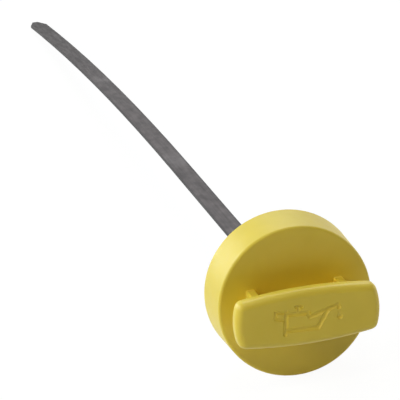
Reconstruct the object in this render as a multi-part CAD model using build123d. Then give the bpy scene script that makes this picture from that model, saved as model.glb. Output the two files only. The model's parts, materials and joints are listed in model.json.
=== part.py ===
# Engine oil dipstick on a filler cap, in millimetres.
# Everything is first built in the cap's own frame: the axis is +Z, from the face to the
# blade's tip, with the face at Z = 0 and the grip below it. +Y is the way the blade droops.
# The finished pieces are then laid down as the dipstick rests: on the cap's open rim and on
# the blade's tip, with +Z up, +Y towards the tip and the origin under the middle.

import os
from math import atan2, cos, degrees, sin

from build123d import *

# Cap shell
rim_radius = 30.0
skirt_draft = 0.6
skirt_height = 18.6
skirt_wall = 2.4
face_wall = 3.0
face_edge_round = 1.0
rim_chamfer = 0.5
inner_corner_chamfer = 1.0

# Grip: a barrel-shaped plate on a web and two cross gussets
grip_height = 17.3
grip_length = 55.2
grip_width = 21.6
grip_thickness = 5.3
grip_end_bow = 1.6
grip_side_bow = 2.0
grip_corner_round = 3.2
grip_front_round = 2.7
grip_back_chamfer = 0.5
web_thickness = 3.0
gusset_thickness = 3.4
gusset_height = 14.4
gusset_spacing = 33.7
gusset_chamfer = 0.5
grip_root_round = 0.4

# Spigot that enters the filler neck, with its bayonet lugs
spigot_radius = 17.5
spigot_length = 25.0
spigot_wall = 2.2
nose_step = 0.7
nose_length = 10.0
nose_chamfer = 1.2
lug_reach = 3.5
lug_thickness = 3.5
lug_angle = 50.0
lug_chamfer = 1.0
neck_flange = 7.0

# Sealing ring between the spigot's root and the skirt
seal_thickness = 3.0
seal_clearance = 0.1
skirt_room = 2.0

# Stem that holds the blade
stem_radius = 6.5
stem_length = 33.0
stem_flat_width = 9.6
stem_flat_length = 13.0
stem_rib_thickness = 1.8
stem_rib_height = 11.0

# Blade
blade_width = 8.1
blade_thickness = 1.0
blade_reach = 445.0
blade_straight = 148.0
blade_bend_radius = 2890.0
blade_root_depth = 15.0
slot_clearance = 0.1
tip_taper = 9.2
tip_width = 2.6
tip_round = 0.4
low_mark_from_tip = 16.0
mark_spacing = 18.0
mark_width = 0.8
mark_depth = 0.25

# Rivet through the stem and the blade
rivet_radius = 1.5
rivet_from_stem_end = 7.0
rivet_head_radius = 2.6
rivet_head_height = 1.3
rivet_face_radius = 1.8
rivet_clearance = 0.05

# Radii that follow from the sizes above
face_radius = rim_radius - skirt_draft
seal_inner_radius = spigot_radius + seal_clearance
seal_outer_radius = face_radius - skirt_wall - skirt_room
nose_radius = spigot_radius - nose_step
lug_radius = spigot_radius + lug_reach

# Heights along the axis
seat_z = face_wall
neck_seat_z = seat_z + seal_thickness
lug_z = neck_seat_z + neck_flange
spigot_end_z = seat_z + spigot_length
stem_end_z = seat_z + stem_length
blade_root_z = stem_end_z - blade_root_depth
rivet_z = stem_end_z - rivet_from_stem_end
bend_start_z = skirt_height + blade_straight
bend_length = blade_reach - blade_straight
bend_centre = (blade_bend_radius, bend_start_z)


def ring_section(inner, outer, bottom, top):
    """Section of a round wall, in the XZ plane, to revolve about the axis."""
    return Plane.XZ * Pos((inner + outer) / 2, (bottom + top) / 2) * Rectangle(outer - inner, top - bottom)


def corners(section, *points):
    """The corners of a flat section that lie at the given (radius, height) points."""
    return [section.vertices().sort_by_distance((reach, 0, height))[0] for reach, height in points]


def cap_shell():
    """Drafted skirt and flat face, one cup-shaped wall."""
    inner_rim = rim_radius - skirt_wall
    inner_face = face_radius - skirt_wall
    outline = Plane.XZ * Polyline(
        (0, 0),
        (face_radius, 0),
        (rim_radius, skirt_height),
        (inner_rim, skirt_height),
        (inner_face, face_wall),
        (0, face_wall),
        close=True,
    )
    section = make_face(outline)
    section = fillet(corners(section, (face_radius, 0)), face_edge_round)
    section = chamfer(corners(section, (rim_radius, skirt_height), (inner_rim, skirt_height)), rim_chamfer)
    section = chamfer(corners(section, (inner_face, face_wall)), inner_corner_chamfer)
    return revolve(section, Axis.Z)


def grip_plate():
    """Barrel outline with bowed sides and ends, rounded all over."""
    corner_x = grip_length / 2 - grip_end_bow
    corner_y = grip_width / 2 - grip_side_bow
    outline = (
        ThreePointArc((-corner_x, corner_y), (0, grip_width / 2), (corner_x, corner_y))
        + ThreePointArc((corner_x, corner_y), (grip_length / 2, 0), (corner_x, -corner_y))
        + ThreePointArc((corner_x, -corner_y), (0, -grip_width / 2), (-corner_x, -corner_y))
        + ThreePointArc((-corner_x, -corner_y), (-grip_length / 2, 0), (-corner_x, corner_y))
    )
    outline = make_face(outline)
    outline = fillet(outline.vertices(), grip_corner_round)
    plate = Pos(0, 0, -grip_height) * extrude(outline, grip_thickness)
    plate = fillet(plate.edges().group_by(Axis.Z)[0], grip_front_round)
    return chamfer(plate.edges().group_by(Axis.Z)[-1], grip_back_chamfer)


def grip_supports():
    """Web along the grip and a gusset across each end of it, as one upright cross-section."""
    gusset = chamfer(Rectangle(gusset_thickness, gusset_height).vertices(), gusset_chamfer)
    section = Rectangle(gusset_spacing, web_thickness)
    for side in (-1, 1):
        section += Pos(side * gusset_spacing / 2, 0) * gusset
    plate_middle = grip_height - grip_thickness / 2
    return Pos(0, 0, -plate_middle) * extrude(section, plate_middle + face_wall / 2)


def round_root(body):
    """Round the inner corner where the grip's supports leave the cap's face."""
    face = body.faces().filter_by(Plane.XY).sort_by(lambda flat: abs(flat.center().Z))[0]
    return fillet(face.inner_wires()[0].edges(), grip_root_round)


def spigot():
    """Hollow spigot with a slimmer nose."""
    bore = spigot_radius - spigot_wall
    body = revolve(ring_section(bore, spigot_radius, face_wall / 2, spigot_end_z - nose_length), Axis.Z)
    nose_section = ring_section(bore, nose_radius, face_wall / 2, spigot_end_z)
    nose_section = chamfer(corners(nose_section, (nose_radius, spigot_end_z)), nose_chamfer)
    return body + revolve(nose_section, Axis.Z)


def bayonet_lugs():
    """Two lugs in line with the grip, with a lead-in chamfer on the side that enters the neck."""
    root = spigot_radius - spigot_wall / 2
    lug_end_z = lug_z + lug_thickness
    section = ring_section(root, lug_radius, lug_z, lug_end_z)
    section = chamfer(corners(section, (lug_radius, lug_end_z)), lug_chamfer)
    lug = Rot(Z=-lug_angle / 2) * revolve(section, Axis.Z, lug_angle)
    return lug + Rot(Z=180) * lug


def stem():
    """Round stem with two flats, a slot for the blade and a hole for the rivet."""
    height = stem_end_z - face_wall / 2
    body = Pos(0, 0, face_wall / 2 + height / 2) * Cylinder(stem_radius, height)
    flat_cut = Pos(0, 0, stem_end_z - stem_flat_length / 2) * Box(
        4 * stem_radius, 4 * stem_radius, stem_flat_length
    )
    flat_keep = Pos(0, 0, stem_end_z - stem_flat_length / 2) * Box(
        4 * stem_radius, stem_flat_width, stem_flat_length
    )
    body -= flat_cut - flat_keep
    slot = Pos(0, 0, blade_root_z + blade_root_depth / 2) * Box(
        blade_width + 2 * slot_clearance, blade_thickness + 2 * slot_clearance, blade_root_depth
    )
    rivet_hole = Pos(0, 0, rivet_z) * Rot(X=90) * Cylinder(rivet_radius + rivet_clearance, 4 * stem_radius)
    return body - slot - rivet_hole


def stem_ribs():
    """Four ribs that tie the stem's root to the spigot's wall."""
    reach = spigot_radius - spigot_wall / 2
    height = face_wall / 2 + stem_rib_height
    rib = Pos(0, 0, face_wall / 2 + height / 2) * Box(2 * reach, stem_rib_thickness, height)
    core = Pos(0, 0, face_wall / 2 + height / 2) * Cylinder(stem_radius / 2, height)
    return rib + Rot(Z=90) * rib - core


def cap():
    """The whole yellow moulding."""
    outside = round_root(cap_shell() + grip_supports() + grip_plate())
    return outside + spigot() + bayonet_lugs() + stem_ribs() + stem()


def seal_ring():
    """Flat rubber ring under the cap's face."""
    return revolve(ring_section(seal_inner_radius, seal_outer_radius, seat_z, neck_seat_z), Axis.Z)


def blade_point(distance, offset):
    """Point at a distance past the start of the bend, offset across the thickness, +Y side positive."""
    turn = distance / blade_bend_radius
    reach = blade_bend_radius - offset
    return (bend_centre[0] - reach * cos(turn), bend_centre[1] + reach * sin(turn))


def blade_outline(length):
    """Plan of the strip, from its root up to a blunt tapered tip, with a hole for the rivet."""
    side = blade_width / 2
    tip = tip_width / 2
    shoulder = length - tip_taper
    plan = make_face(
        Polyline(
            (-side, 0), (-side, shoulder), (-tip, length), (tip, length), (side, shoulder), (side, 0), close=True
        )
    )
    plan = fillet(plan.vertices().group_by(Axis.Y)[-1], tip_round)
    return plan - Pos(0, rivet_z - blade_root_z) * Circle(rivet_radius + rivet_clearance)


def blade():
    """Flat steel strip: straight out of the stem, then one long bend to the tip."""
    path = Line((0, 0, blade_root_z), (0, 0, bend_start_z)) + ThreePointArc(
        (0, 0, bend_start_z),
        (0, *blade_point(bend_length / 2, 0)),
        (0, *blade_point(bend_length, 0)),
    )
    strip = sweep(Pos(0, 0, blade_root_z) * Rectangle(blade_width, blade_thickness), path)
    tip_z = blade_point(bend_length, blade_thickness / 2)[1]
    plan = extrude(blade_outline(tip_z - blade_root_z), blade_reach, both=True)
    strip = strip & Pos(0, 0, blade_root_z) * Rot(X=90) * plan
    for from_tip in (low_mark_from_tip, low_mark_from_tip + mark_spacing):
        place = bend_length - from_tip
        groove = Rot(X=-degrees(place / blade_bend_radius)) * Box(2 * blade_width, 2 * mark_depth, mark_width)
        strip -= Pos(0, *blade_point(place, blade_thickness / 2)) * groove
    return strip


def rivet():
    """Set rivet with a low head on each flat of the stem."""
    body = Rot(X=90) * Cylinder(rivet_radius, stem_flat_width)
    head_middle = (stem_flat_width + rivet_head_height) / 2
    head = Pos(0, 0, head_middle) * Cone(rivet_head_radius, rivet_face_radius, rivet_head_height)
    for turn in (-90, 90):
        body += Rot(X=turn) * head
    return Pos(0, 0, rivet_z) * body


def rest_place():
    """Lay the pieces down so that the rim's outer edge and the tip's lower edge touch the floor."""
    draft = atan2(skirt_draft, skirt_height)
    edge_y = rim_radius - rim_chamfer * sin(draft)
    edge_z = skirt_height - rim_chamfer * cos(draft)
    tip_y, tip_z = blade_point(bend_length, blade_thickness / 2)
    tilt = atan2(edge_y - tip_y, tip_z - edge_z)
    lift = tip_y * cos(tilt) + tip_z * sin(tilt)
    return Pos(0, 0, lift) * Rot(X=-90 - degrees(tilt))


pieces = {
    "cap": cap(),
    "seal_ring": seal_ring(),
    "dipstick_blade": blade(),
    "blade_rivet": rivet(),
}
laid = rest_place()
extent = Compound(children=[laid * piece for piece in pieces.values()]).bounding_box()
rest = Pos(0, -(extent.min.Y + extent.max.Y) / 2, 0) * laid

os.makedirs("parts", exist_ok=True)
for name, piece in pieces.items():
    export_step(rest * piece, f"parts/{name}.step")
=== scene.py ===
# %% [markdown]
# # An engine oil dipstick and its filler cap
# The object is a yellow moulded cap with a T-shaped grip, and a long flat steel blade that hangs from it.
# It lies on a white table, on the cap's open rim and on the blade's tip. The solids come from the CAD
# model, so this lesson adds what CAD leaves out: the sign pressed into the grip, and the finish of each
# surface. Everything is in metres, and every object sits at the origin with its place in its mesh.

# %% Load the solids
import json
from math import cos, radians, sin, sqrt

import bpy
from mathutils import Matrix, Vector


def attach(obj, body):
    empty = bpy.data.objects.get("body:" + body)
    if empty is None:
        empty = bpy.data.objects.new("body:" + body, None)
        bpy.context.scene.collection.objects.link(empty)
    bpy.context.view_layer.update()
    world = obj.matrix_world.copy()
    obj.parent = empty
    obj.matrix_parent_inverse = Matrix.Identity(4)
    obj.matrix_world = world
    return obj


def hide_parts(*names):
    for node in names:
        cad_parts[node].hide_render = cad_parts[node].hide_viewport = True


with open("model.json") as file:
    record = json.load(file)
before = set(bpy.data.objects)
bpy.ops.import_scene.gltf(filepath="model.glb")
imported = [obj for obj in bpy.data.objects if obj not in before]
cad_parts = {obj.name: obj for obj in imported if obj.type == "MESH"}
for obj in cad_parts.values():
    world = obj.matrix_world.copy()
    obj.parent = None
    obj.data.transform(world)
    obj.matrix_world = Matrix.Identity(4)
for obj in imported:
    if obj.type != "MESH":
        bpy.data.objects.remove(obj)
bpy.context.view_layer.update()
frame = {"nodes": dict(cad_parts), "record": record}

mm = 0.001
nodes = frame["nodes"]
print("CAD nodes:", sorted(nodes))

# %% [markdown]
# ## The cap's own directions
# The dipstick lies a little nose-down, so the cap's axis isn't quite level. The record's mounts give that
# axis, and the grip's own right, up and out directions follow from it. A point on the grip can then be
# given as millimetres to the right and up from the middle of its front face, as on a drawing.

# %% Directions of the grip
mounts = {mount["name"]: mount for mount in frame["record"]["mounts"]}
cap_axis = Vector(mounts["neck_spigot"]["axis"]).normalized()
axis_point = Vector(mounts["neck_spigot"]["pos_m"])
grip_right = Vector((1, 0, 0))
grip_up = grip_right.cross(cap_axis).normalized()
cap_reach = [(vertex.co - axis_point).dot(cap_axis) for vertex in nodes["cap"].data.vertices]
grip_centre = axis_point + cap_axis * min(cap_reach)


def on_grip(right, up, out=0.0):
    """Point on the grip's front face, in millimetres from its middle, out of the face towards the viewer."""
    return grip_centre + mm * (right * grip_right + up * grip_up - out * cap_axis)


print("middle of the grip's front:", [round(value, 4) for value in grip_centre])

# %% [markdown]
# ## Small helpers
# The operators act on whatever is selected, and the CAD nodes come in selected. So each step first
# deselects everything and then picks the one object that it works on. A CAD node is never changed: a piece
# that needs more shape starts from a copy, whose loose triangles are merged into one skin.

# %% Selection and finishing helpers
merge_distance = 0.002 * mm


def pick(*objects):
    """Make these objects the only selected ones, and the first of them active."""
    bpy.ops.object.select_all(action="DESELECT")
    for obj in objects:
        obj.select_set(True)
    bpy.context.view_layer.objects.active = objects[0]


def edit_all(obj):
    """Open an object in edit mode with everything in it selected."""
    pick(obj)
    bpy.ops.object.mode_set(mode="EDIT")
    bpy.ops.mesh.select_all(action="SELECT")


def edit_some(obj, kind, wanted):
    """Open an object in edit mode with only the wanted vertices or faces selected, and count them."""
    edit_all(obj)
    bpy.ops.mesh.select_mode(type=kind)
    bpy.ops.mesh.select_all(action="DESELECT")
    bpy.ops.object.mode_set(mode="OBJECT")
    elements = obj.data.polygons if kind == "FACE" else obj.data.vertices
    for element in elements:
        element.select = wanted(element)
    count = sum(element.select for element in elements)
    bpy.ops.object.mode_set(mode="EDIT")
    return count


def merged_copy(node, name):
    """A copy of a CAD node with its loose triangles merged and its sharp edges marked."""
    pick(nodes[node])
    bpy.ops.object.duplicate()
    copy = bpy.context.active_object
    copy.name = name
    copy.parent = None
    edit_all(copy)
    bpy.ops.mesh.remove_doubles(threshold=merge_distance, use_sharp_edge_from_normals=True)
    bpy.ops.object.mode_set(mode="OBJECT")
    return copy


def apply_modifier(obj, kind, name, **settings):
    """Add a modifier, set it and apply it."""
    pick(obj)
    modifier = obj.modifiers.new(name, kind)
    for key, value in settings.items():
        setattr(modifier, key, value)
    bpy.ops.object.modifier_apply(modifier=modifier.name)


print("helpers ready")

# %% [markdown]
# ## The cap with its sign
# The sign on the grip is the usual oil can, pressed into the plastic as shallow round-bottomed grooves.
# Bump could fake it, but a real groove catches the light on its far wall and keeps its form in the mesh.
# So each stroke is a small ball whose far half is drawn out along the face. The handle and the filler have
# finer grooves, and the drop is a wider ball with a smaller far end. The bars then melt into one skin, which
# has no seams where strokes cross, and one Boolean presses that skin into the cap.

# %% Copy the cap
cap = merged_copy("cap", "cap_moulding")
print("cap copy:", len(cap.data.polygons), "faces")

# %% Draw one groove
bar_radius = 1.1
bar_out = 0.5
ball_segments = 24
ball_rings = 13


def groove_bar(start, end, radius=bar_radius, out=bar_out, far_share=1.0):
    """A ball just out of the grip's face, its far half drawn out to a second point and resized there."""
    here, there = on_grip(*start, out), on_grip(*end, out)
    along = there - here
    turn = along.to_track_quat("Z", "Y").to_euler()
    bpy.ops.mesh.primitive_uv_sphere_add(
        segments=ball_segments, ring_count=ball_rings, radius=radius * mm, location=here, rotation=turn
    )
    bar = bpy.context.active_object
    edit_some(bar, "VERT", lambda vertex: vertex.co.z > 0)
    bpy.ops.transform.translate(value=along)
    bpy.ops.transform.resize(value=(far_share, far_share, far_share), center_override=there)
    bpy.ops.object.mode_set(mode="OBJECT")
    return bar


groove_width = 2 * sqrt(bar_radius**2 - bar_out**2)
print("grooves:", round(groove_width, 2), "mm wide and", round(bar_radius - bar_out, 2), "mm deep")

# %% Strokes of the oil can
can_strokes = {
    "side": [(-8.5, 3.3), (-9.3, -4.9)],
    "bottom": [(-9.0, -3.7), (3.2, -4.15), (6.9, 1.7)],
    "top": [(-8.5, 2.4), (-0.35, 2.1), (0.25, 0.4), (11.1, 3.3), (11.5, 2.5)],
}
fine_strokes = {
    "handle": [(-8.6, 3.1), (-12.6, 4.05), (-12.8, 1.4), (-8.9, 0.5)],
    "filler": [(-3.9, 2.5), (-3.8, 4.6)],
    "filler_cap": [(-4.8, 5.05), (-2.5, 4.7)],
}
drop_stroke = [(11.65, -1.05), (11.55, 1.15)]
fine_bar = {"radius": 0.7, "out": 0.2}
drop_bar = {"radius": 1.8, "out": 1.15, "far_share": 0.6}


def stroke_bars(strokes, **shape):
    """One bar for each straight piece of each stroke."""
    return [groove_bar(*ends, **shape) for points in strokes.values() for ends in zip(points, points[1:])]


bars = stroke_bars(can_strokes) + stroke_bars(fine_strokes, **fine_bar)
bars.append(groove_bar(*drop_stroke, **drop_bar))
print("strokes:", ", ".join([*can_strokes, *fine_strokes]), "and the drop, from", len(bars), "bars")

# %% Press the sign in
skin_voxel = 0.1 * mm

pick(*bars)
bpy.ops.object.join()
sign = bpy.context.active_object
apply_modifier(sign, "REMESH", "one_skin", mode="VOXEL", voxel_size=skin_voxel, use_smooth_shade=True)
apply_modifier(cap, "BOOLEAN", "press", operation="DIFFERENCE", object=sign, solver="EXACT")
bpy.data.objects.remove(sign)
print("cap with its sign:", len(cap.data.polygons), "faces")

# %% [markdown]
# ## Clean shading on the cap
# The CAD cap carries exact normals, so its rounds look round and its flats look flat, and the copy keeps
# them. Smoothing it all again would bend the light across each flat that runs into a round. So only the
# grooves get new shading: they are smooth inside, and their rims are marked sharp against the flat face.

# %% Shade the grooves and place the cap
# Half sizes of the sign in millimetres: to the right, up and into the grip
sign_reach = (15, 7, 1)


def in_a_groove(face):
    """Whether a face of the cap is a round one within the sign."""
    offset = (face.center - grip_centre) / mm
    directions = (grip_right, grip_up, cap_axis)
    inside = all(abs(offset.dot(way)) < reach for way, reach in zip(directions, sign_reach))
    return inside and face.use_smooth


groove_count = edit_some(cap, "FACE", in_a_groove)
bpy.ops.mesh.region_to_loop()
bpy.ops.mesh.mark_sharp()
bpy.ops.object.mode_set(mode="OBJECT")
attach(cap, "root")
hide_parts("cap")
print(groove_count, "faces lie in the grooves, and the cap stands for the CAD cap")

# %% [markdown]
# ## Finishes
# Each finish is a Principled shader fed by a few procedural textures on Object coordinates, so a grain
# keeps its real size in millimetres whatever the view.

# %% Node helpers
def new_material(name):
    """A node material with its tree, its Principled shader and its Object coordinates."""
    material = bpy.data.materials.new(name)
    material.use_nodes = True
    tree = material.node_tree
    coords = tree.nodes.new("ShaderNodeTexCoord")
    return material, tree, tree.nodes["Principled BSDF"], coords.outputs["Object"]


def noise(tree, vector, scale, detail=3.0, stretch=(1, 1, 1)):
    """Noise of so many features to the metre, stretched along the axes."""
    mapping = tree.nodes.new("ShaderNodeMapping")
    mapping.inputs["Scale"].default_value = stretch
    tree.links.new(vector, mapping.inputs["Vector"])
    texture = tree.nodes.new("ShaderNodeTexNoise")
    texture.inputs["Scale"].default_value = scale
    texture.inputs["Detail"].default_value = detail
    tree.links.new(mapping.outputs["Vector"], texture.inputs["Vector"])
    return texture.outputs["Fac"]


def spread(tree, factor, low, high, start=0.3, end=0.7):
    """Turn a stretch of a factor into a range of values."""
    node = tree.nodes.new("ShaderNodeMapRange")
    node.inputs["From Min"].default_value = start
    node.inputs["From Max"].default_value = end
    node.inputs["To Min"].default_value = low
    node.inputs["To Max"].default_value = high
    tree.links.new(factor, node.inputs["Value"])
    return node.outputs["Result"]


def shades(tree, factor, *stops):
    """Colours along a factor between two stops, each a position and a colour."""
    ramp = tree.nodes.new("ShaderNodeValToRGB")
    for element, (position, colour) in zip(ramp.color_ramp.elements, stops):
        element.position = position
        element.color = (*colour, 1)
    tree.links.new(factor, ramp.inputs["Fac"])
    return ramp.outputs["Color"]


def bump(tree, shader, height, distance):
    """Bump of so many metres from a texture."""
    node = tree.nodes.new("ShaderNodeBump")
    node.inputs["Distance"].default_value = distance
    tree.links.new(height, node.inputs["Height"])
    tree.links.new(node.outputs["Normal"], shader.inputs["Normal"])


def dress(obj, material):
    """Give an object one material."""
    obj.data.materials.clear()
    obj.data.materials.append(material)
    print(obj.name, "wears", material.name)


print("node helpers ready")

# %% [markdown]
# ## Yellow plastic
# The cap is satin moulded plastic. Light goes a little way into it, so its edges glow and its shade is
# warm: a small subsurface share does that. A fine mould grain breaks up the gloss.

# %% Dress the cap
def moulded_yellow():
    """Satin moulded plastic with a fine mould grain."""
    material, tree, shader, vector = new_material("moulded_yellow")
    cloud = noise(tree, vector, scale=60, detail=2)
    colour = shades(tree, cloud, (0.35, (0.78, 0.60, 0.055)), (0.65, (0.82, 0.63, 0.062)))
    tree.links.new(colour, shader.inputs["Base Color"])
    gloss = noise(tree, vector, scale=400)
    tree.links.new(spread(tree, gloss, low=0.38, high=0.46), shader.inputs["Roughness"])
    shader.inputs["IOR"].default_value = 1.5
    shader.inputs["Subsurface Weight"].default_value = 0.12
    shader.inputs["Subsurface Radius"].default_value = (0.002, 0.0014, 0.0004)
    bump(tree, shader, noise(tree, vector, scale=2600, detail=2), distance=0.03 * mm)
    return material


dress(cap, moulded_yellow())

# %% [markdown]
# ## Black rubber
# The sealing ring under the cap's face is dull black rubber, a touch lighter where it is dusty.

# %% Dress the sealing ring
def dull_rubber():
    """Dull black rubber."""
    material, tree, shader, vector = new_material("dull_rubber")
    cloud = noise(tree, vector, scale=180)
    colour = shades(tree, cloud, (0.3, (0.012, 0.012, 0.012)), (0.7, (0.028, 0.027, 0.026)))
    tree.links.new(colour, shader.inputs["Base Color"])
    tree.links.new(spread(tree, cloud, low=0.55, high=0.72), shader.inputs["Roughness"])
    bump(tree, shader, noise(tree, vector, scale=1800), distance=0.04 * mm)
    return material


dress(nodes["seal_ring"], dull_rubber())

# %% [markdown]
# ## Rolled steel strip
# The blade is dark rolled spring steel. Rolling leaves fine streaks along its length and a mottled oxide
# skin, and both long edges stay darker than the middle. The end that dips into the oil has painted shade
# that darkens it towards the tip. Two faint paler bands cross it. The blade lies along Y, so the streaks
# are noise stretched along Y, the dark edges come from the distance to the middle along X, the painted
# shade grows along Y towards the tip, and each paler band fades with the distance from its place along Y.

# %% Places on the blade
blade_places = [vertex.co for vertex in nodes["dipstick_blade"].data.vertices]
blade_side = max(place.x for place in blade_places)
blade_tip = max(place.y for place in blade_places)
edge_band = 0.9 * mm
# Length of the painted shade that darkens the blade towards its tip
tip_shade_length = 200 * mm
# Places of two paler bands across the blade, and how far each one fades
pale_band_places = (-47 * mm, 90 * mm)
pale_band_reach = 11 * mm


def distance_from(tree, value, place):
    """Distance of a value from a place."""
    offset = tree.nodes.new("ShaderNodeMath")
    offset.operation = "SUBTRACT"
    offset.inputs[1].default_value = place
    tree.links.new(value, offset.inputs[0])
    distance = tree.nodes.new("ShaderNodeMath")
    distance.operation = "ABSOLUTE"
    tree.links.new(offset.outputs["Value"], distance.inputs[0])
    return distance.outputs["Value"]


def across_and_along(tree, vector):
    """Distance from the blade's middle line, and place along the blade."""
    split = tree.nodes.new("ShaderNodeSeparateXYZ")
    tree.links.new(vector, split.inputs["Vector"])
    return distance_from(tree, split.outputs["X"], 0.0), split.outputs["Y"]


print("blade half width:", round(blade_side / mm, 2), "mm, tip at", round(blade_tip / mm, 1), "mm")

# %% Dress the blade
def blend_colours(tree, factor, low, high):
    """Mix two colours by a factor."""
    node = tree.nodes.new("ShaderNodeMix")
    node.data_type = "RGBA"
    tree.links.new(factor, node.inputs["Factor"])
    tree.links.new(low, node.inputs["A"])
    tree.links.new(high, node.inputs["B"])
    return node.outputs["Result"]


def rolled_strip():
    """Dark rolled strip: streaks, mottled oxide, paler bands, dark edges, painted shade at the tip."""
    material, tree, shader, vector = new_material("rolled_strip")
    across, along = across_and_along(tree, vector)
    streaks = noise(tree, vector, scale=900, detail=4, stretch=(1, 0.02, 1))
    mottle = noise(tree, vector, scale=260, detail=4, stretch=(1, 0.6, 1))
    clean = shades(tree, mottle, (0.35, (0.050, 0.042, 0.042)), (0.65, (0.087, 0.073, 0.0725)))
    # Painted shade: a darker copy of the steel colour, blended in towards the tip
    tip_shade = shades(tree, mottle, (0.35, (0.0126, 0.0098, 0.0099)), (0.65, (0.026, 0.0206, 0.0208)))
    # A paler copy of the steel colour for the two bands
    pale_band = shades(tree, mottle, (0.35, (0.076, 0.0665, 0.0665)), (0.65, (0.135, 0.118, 0.1175)))
    edge = shades(tree, streaks, (0.3, (0.022, 0.0195, 0.0195)), (0.7, (0.036, 0.0315, 0.0315)))
    near_tip = spread(tree, along, low=0, high=1, start=blade_tip - tip_shade_length, end=blade_tip)
    near_edge = spread(tree, across, low=0, high=1, start=blade_side - edge_band, end=blade_side)
    # Blend the painted shade in towards the tip
    middle = blend_colours(tree, near_tip, clean, tip_shade)
    # Blend each paler band in around its place along the blade
    for place in pale_band_places:
        pale_band_distance = distance_from(tree, along, place)
        near_pale_band = spread(tree, pale_band_distance, low=1, high=0, start=0, end=pale_band_reach)
        middle = blend_colours(tree, near_pale_band, middle, pale_band)
    tree.links.new(blend_colours(tree, near_edge, middle, edge), shader.inputs["Base Color"])
    shader.inputs["Metallic"].default_value = 0.85
    tree.links.new(spread(tree, streaks, low=0.42, high=0.56), shader.inputs["Roughness"])
    bump(tree, shader, streaks, distance=0.01 * mm)
    return material


dress(nodes["dipstick_blade"], rolled_strip())

# %% [markdown]
# ## Rivet steel
# The rivet that holds the blade in the stem is brighter: a satin steel with a fine grain.

# %% Dress the rivet
def satin_steel():
    """Bright satin steel."""
    material, tree, shader, vector = new_material("satin_steel")
    grain = noise(tree, vector, scale=1500)
    colour = shades(tree, grain, (0.3, (0.45, 0.45, 0.44)), (0.7, (0.6, 0.6, 0.59)))
    tree.links.new(colour, shader.inputs["Base Color"])
    shader.inputs["Metallic"].default_value = 1.0
    tree.links.new(spread(tree, grain, low=0.3, high=0.45), shader.inputs["Roughness"])
    return material


dress(nodes["blade_rivet"], satin_steel())

# %% [markdown]
# ## White table
# The photo's background is plain white paper. More light would bleach the part too, so the paper looks
# white only to the camera and in reflections. For the light's own bounces it is ordinary white paper, and a
# thin share of plain shading keeps the object's shadow on it.

# %% Rays that see the white paper
def seen_directly(tree):
    """One for rays from the camera, in reflections and through glass, and zero for the light's bounces."""
    path = tree.nodes.new("ShaderNodeLightPath")
    seen = path.outputs["Is Camera Ray"]
    for ray in ("Is Glossy Ray", "Is Transmission Ray"):
        either = tree.nodes.new("ShaderNodeMath")
        either.operation = "MAXIMUM"
        tree.links.new(seen, either.inputs[0])
        tree.links.new(path.outputs[ray], either.inputs[1])
        seen = either.outputs[0]
    return seen


def show_apart(tree, bounced, shown, output):
    """Use one shader for the light's bounces, and show the other to the rays that see directly."""
    mix = tree.nodes.new("ShaderNodeMixShader")
    tree.links.new(seen_directly(tree), mix.inputs["Fac"])
    tree.links.new(bounced, mix.inputs[1])
    tree.links.new(shown, mix.inputs[2])
    tree.links.new(mix.outputs["Shader"], output.inputs["Surface"])


print("white is shown to camera, glossy and transmission rays")

# %% Lay the table
table_size = 8
table_shadow = 0.08
table_white = 0.95
table_bounce = 0.75


def diffuse(tree, grey):
    """A plain matt grey."""
    node = tree.nodes.new("ShaderNodeBsdfDiffuse")
    node.inputs["Color"].default_value = (grey, grey, grey, 1)
    return node.outputs["BSDF"]


def white_paper():
    """Paper that looks white with a faint shadow, and that bounces light as plain white paper does."""
    material = bpy.data.materials.new("white_paper")
    material.use_nodes = True
    tree = material.node_tree
    tree.nodes.clear()
    white = tree.nodes.new("ShaderNodeEmission")
    white.inputs["Strength"].default_value = table_white
    shown = tree.nodes.new("ShaderNodeAddShader")
    tree.links.new(diffuse(tree, table_shadow), shown.inputs[0])
    tree.links.new(white.outputs["Emission"], shown.inputs[1])
    output = tree.nodes.new("ShaderNodeOutputMaterial")
    show_apart(tree, diffuse(tree, table_bounce), shown.outputs["Shader"], output)
    return material


bpy.ops.mesh.primitive_plane_add(size=table_size, location=(0, 0, 0))
table = bpy.context.active_object
table.name = "table_top"
dress(table, white_paper())

# %% [markdown]
# ## Light
# In the photo the cap's upper left is bright and its front lies in soft shade. So a large soft lamp stands
# to the left, a little behind the face. Two small warm ones, low at the front left and high in front, graze
# the grip, so that each groove of the sign has a dark near wall and a bright far one. One lamp stands high
# behind, and weak ones low down at the back and at the right give the skirt its sheen. The large lamps to
# the left and behind are cool as daylight, and the room adds a dim warm light.

# %% Room light
room_light = 0.03
room_colour = (1.0, 0.80, 0.55)

world = bpy.data.worlds.new("room")
bpy.context.scene.world = world
world.use_nodes = True
room = world.node_tree
dim_walls = room.nodes["Background"]
dim_walls.inputs["Color"].default_value = (*room_colour, 1)
dim_walls.inputs["Strength"].default_value = room_light
backdrop = room.nodes.new("ShaderNodeBackground")
backdrop.inputs["Color"].default_value = (1, 1, 1, 1)
backdrop.inputs["Strength"].default_value = 1.0
room_output = room.nodes["World Output"]
show_apart(room, dim_walls.outputs["Background"], backdrop.outputs["Background"], room_output)
print("room light:", room_light)

# %% Soft lamps
lamp_distance = 1.4
large = 0.8
small = 0.3
daylight = (0.80, 0.92, 1.0)
warm_light = (1.0, 0.92, 0.66)


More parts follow.
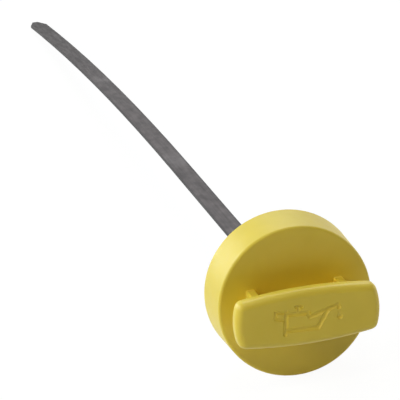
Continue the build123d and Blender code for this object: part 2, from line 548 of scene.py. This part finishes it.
def soft_lamp(name, turn, height, size, power, colour=daylight):
    """A square lamp so many degrees round the cap from its front and above the table, facing the cap."""
    level = cos(radians(height))
    towards = Vector((level * sin(radians(turn)), -level * cos(radians(turn)), sin(radians(height))))
    data = bpy.data.lights.new(name, "AREA")
    data.shape = "SQUARE"
    data.size = size
    data.energy = power
    data.color = colour
    lamp = bpy.data.objects.new(name, data)
    bpy.context.scene.collection.objects.link(lamp)
    lamp.location = axis_point + lamp_distance * towards
    lamp.rotation_euler = towards.to_track_quat("Z", "Y").to_euler()
    print(name, power, "W")


soft_lamp("window_left", turn=-102, height=30, size=large, power=10.5)
soft_lamp("front_left", turn=-68, height=22, size=small, power=4.2, colour=warm_light)
soft_lamp("front_top", turn=-14, height=62, size=small, power=3.6, colour=warm_light)
soft_lamp("high_back", turn=160, height=52, size=large, power=7.0)
soft_lamp("low_back_left", turn=-145, height=10, size=large, power=5.2)
soft_lamp("low_right", turn=98, height=10, size=large, power=6.0, colour=warm_light)

# %% [markdown]
# ## Camera
# The camera stands as in the photo: in front of the grip, a little to the left and above, with a long lens
# that keeps the cap's circle nearly flat.

# %% Set the camera
camera_target = Vector((-2.17, -94.88, 25.0)) * mm
camera_distance = 1223.5 * mm
camera_turn = radians(14.07)
camera_height = radians(21.25)
camera_roll = radians(-3.17)
focal_pixels = 3000
image_pixels = 400

camera_data = bpy.data.cameras.new("photo_camera")
camera_data.sensor_width = 36
camera_data.lens = camera_data.sensor_width * focal_pixels / image_pixels
camera = bpy.data.objects.new("photo_camera", camera_data)
bpy.context.scene.collection.objects.link(camera)
level = cos(camera_height)
look = Vector((sin(camera_turn) * level, cos(camera_turn) * level, -sin(camera_height)))
camera.location = camera_target - camera_distance * look
upright = look.to_track_quat("-Z", "Y").to_matrix()
camera.rotation_euler = (upright @ Matrix.Rotation(camera_roll, 3, "Z")).to_euler()
bpy.context.scene.camera = camera
bpy.context.scene.view_settings.view_transform = "Standard"
print("camera at:", [round(value, 3) for value in camera.location])
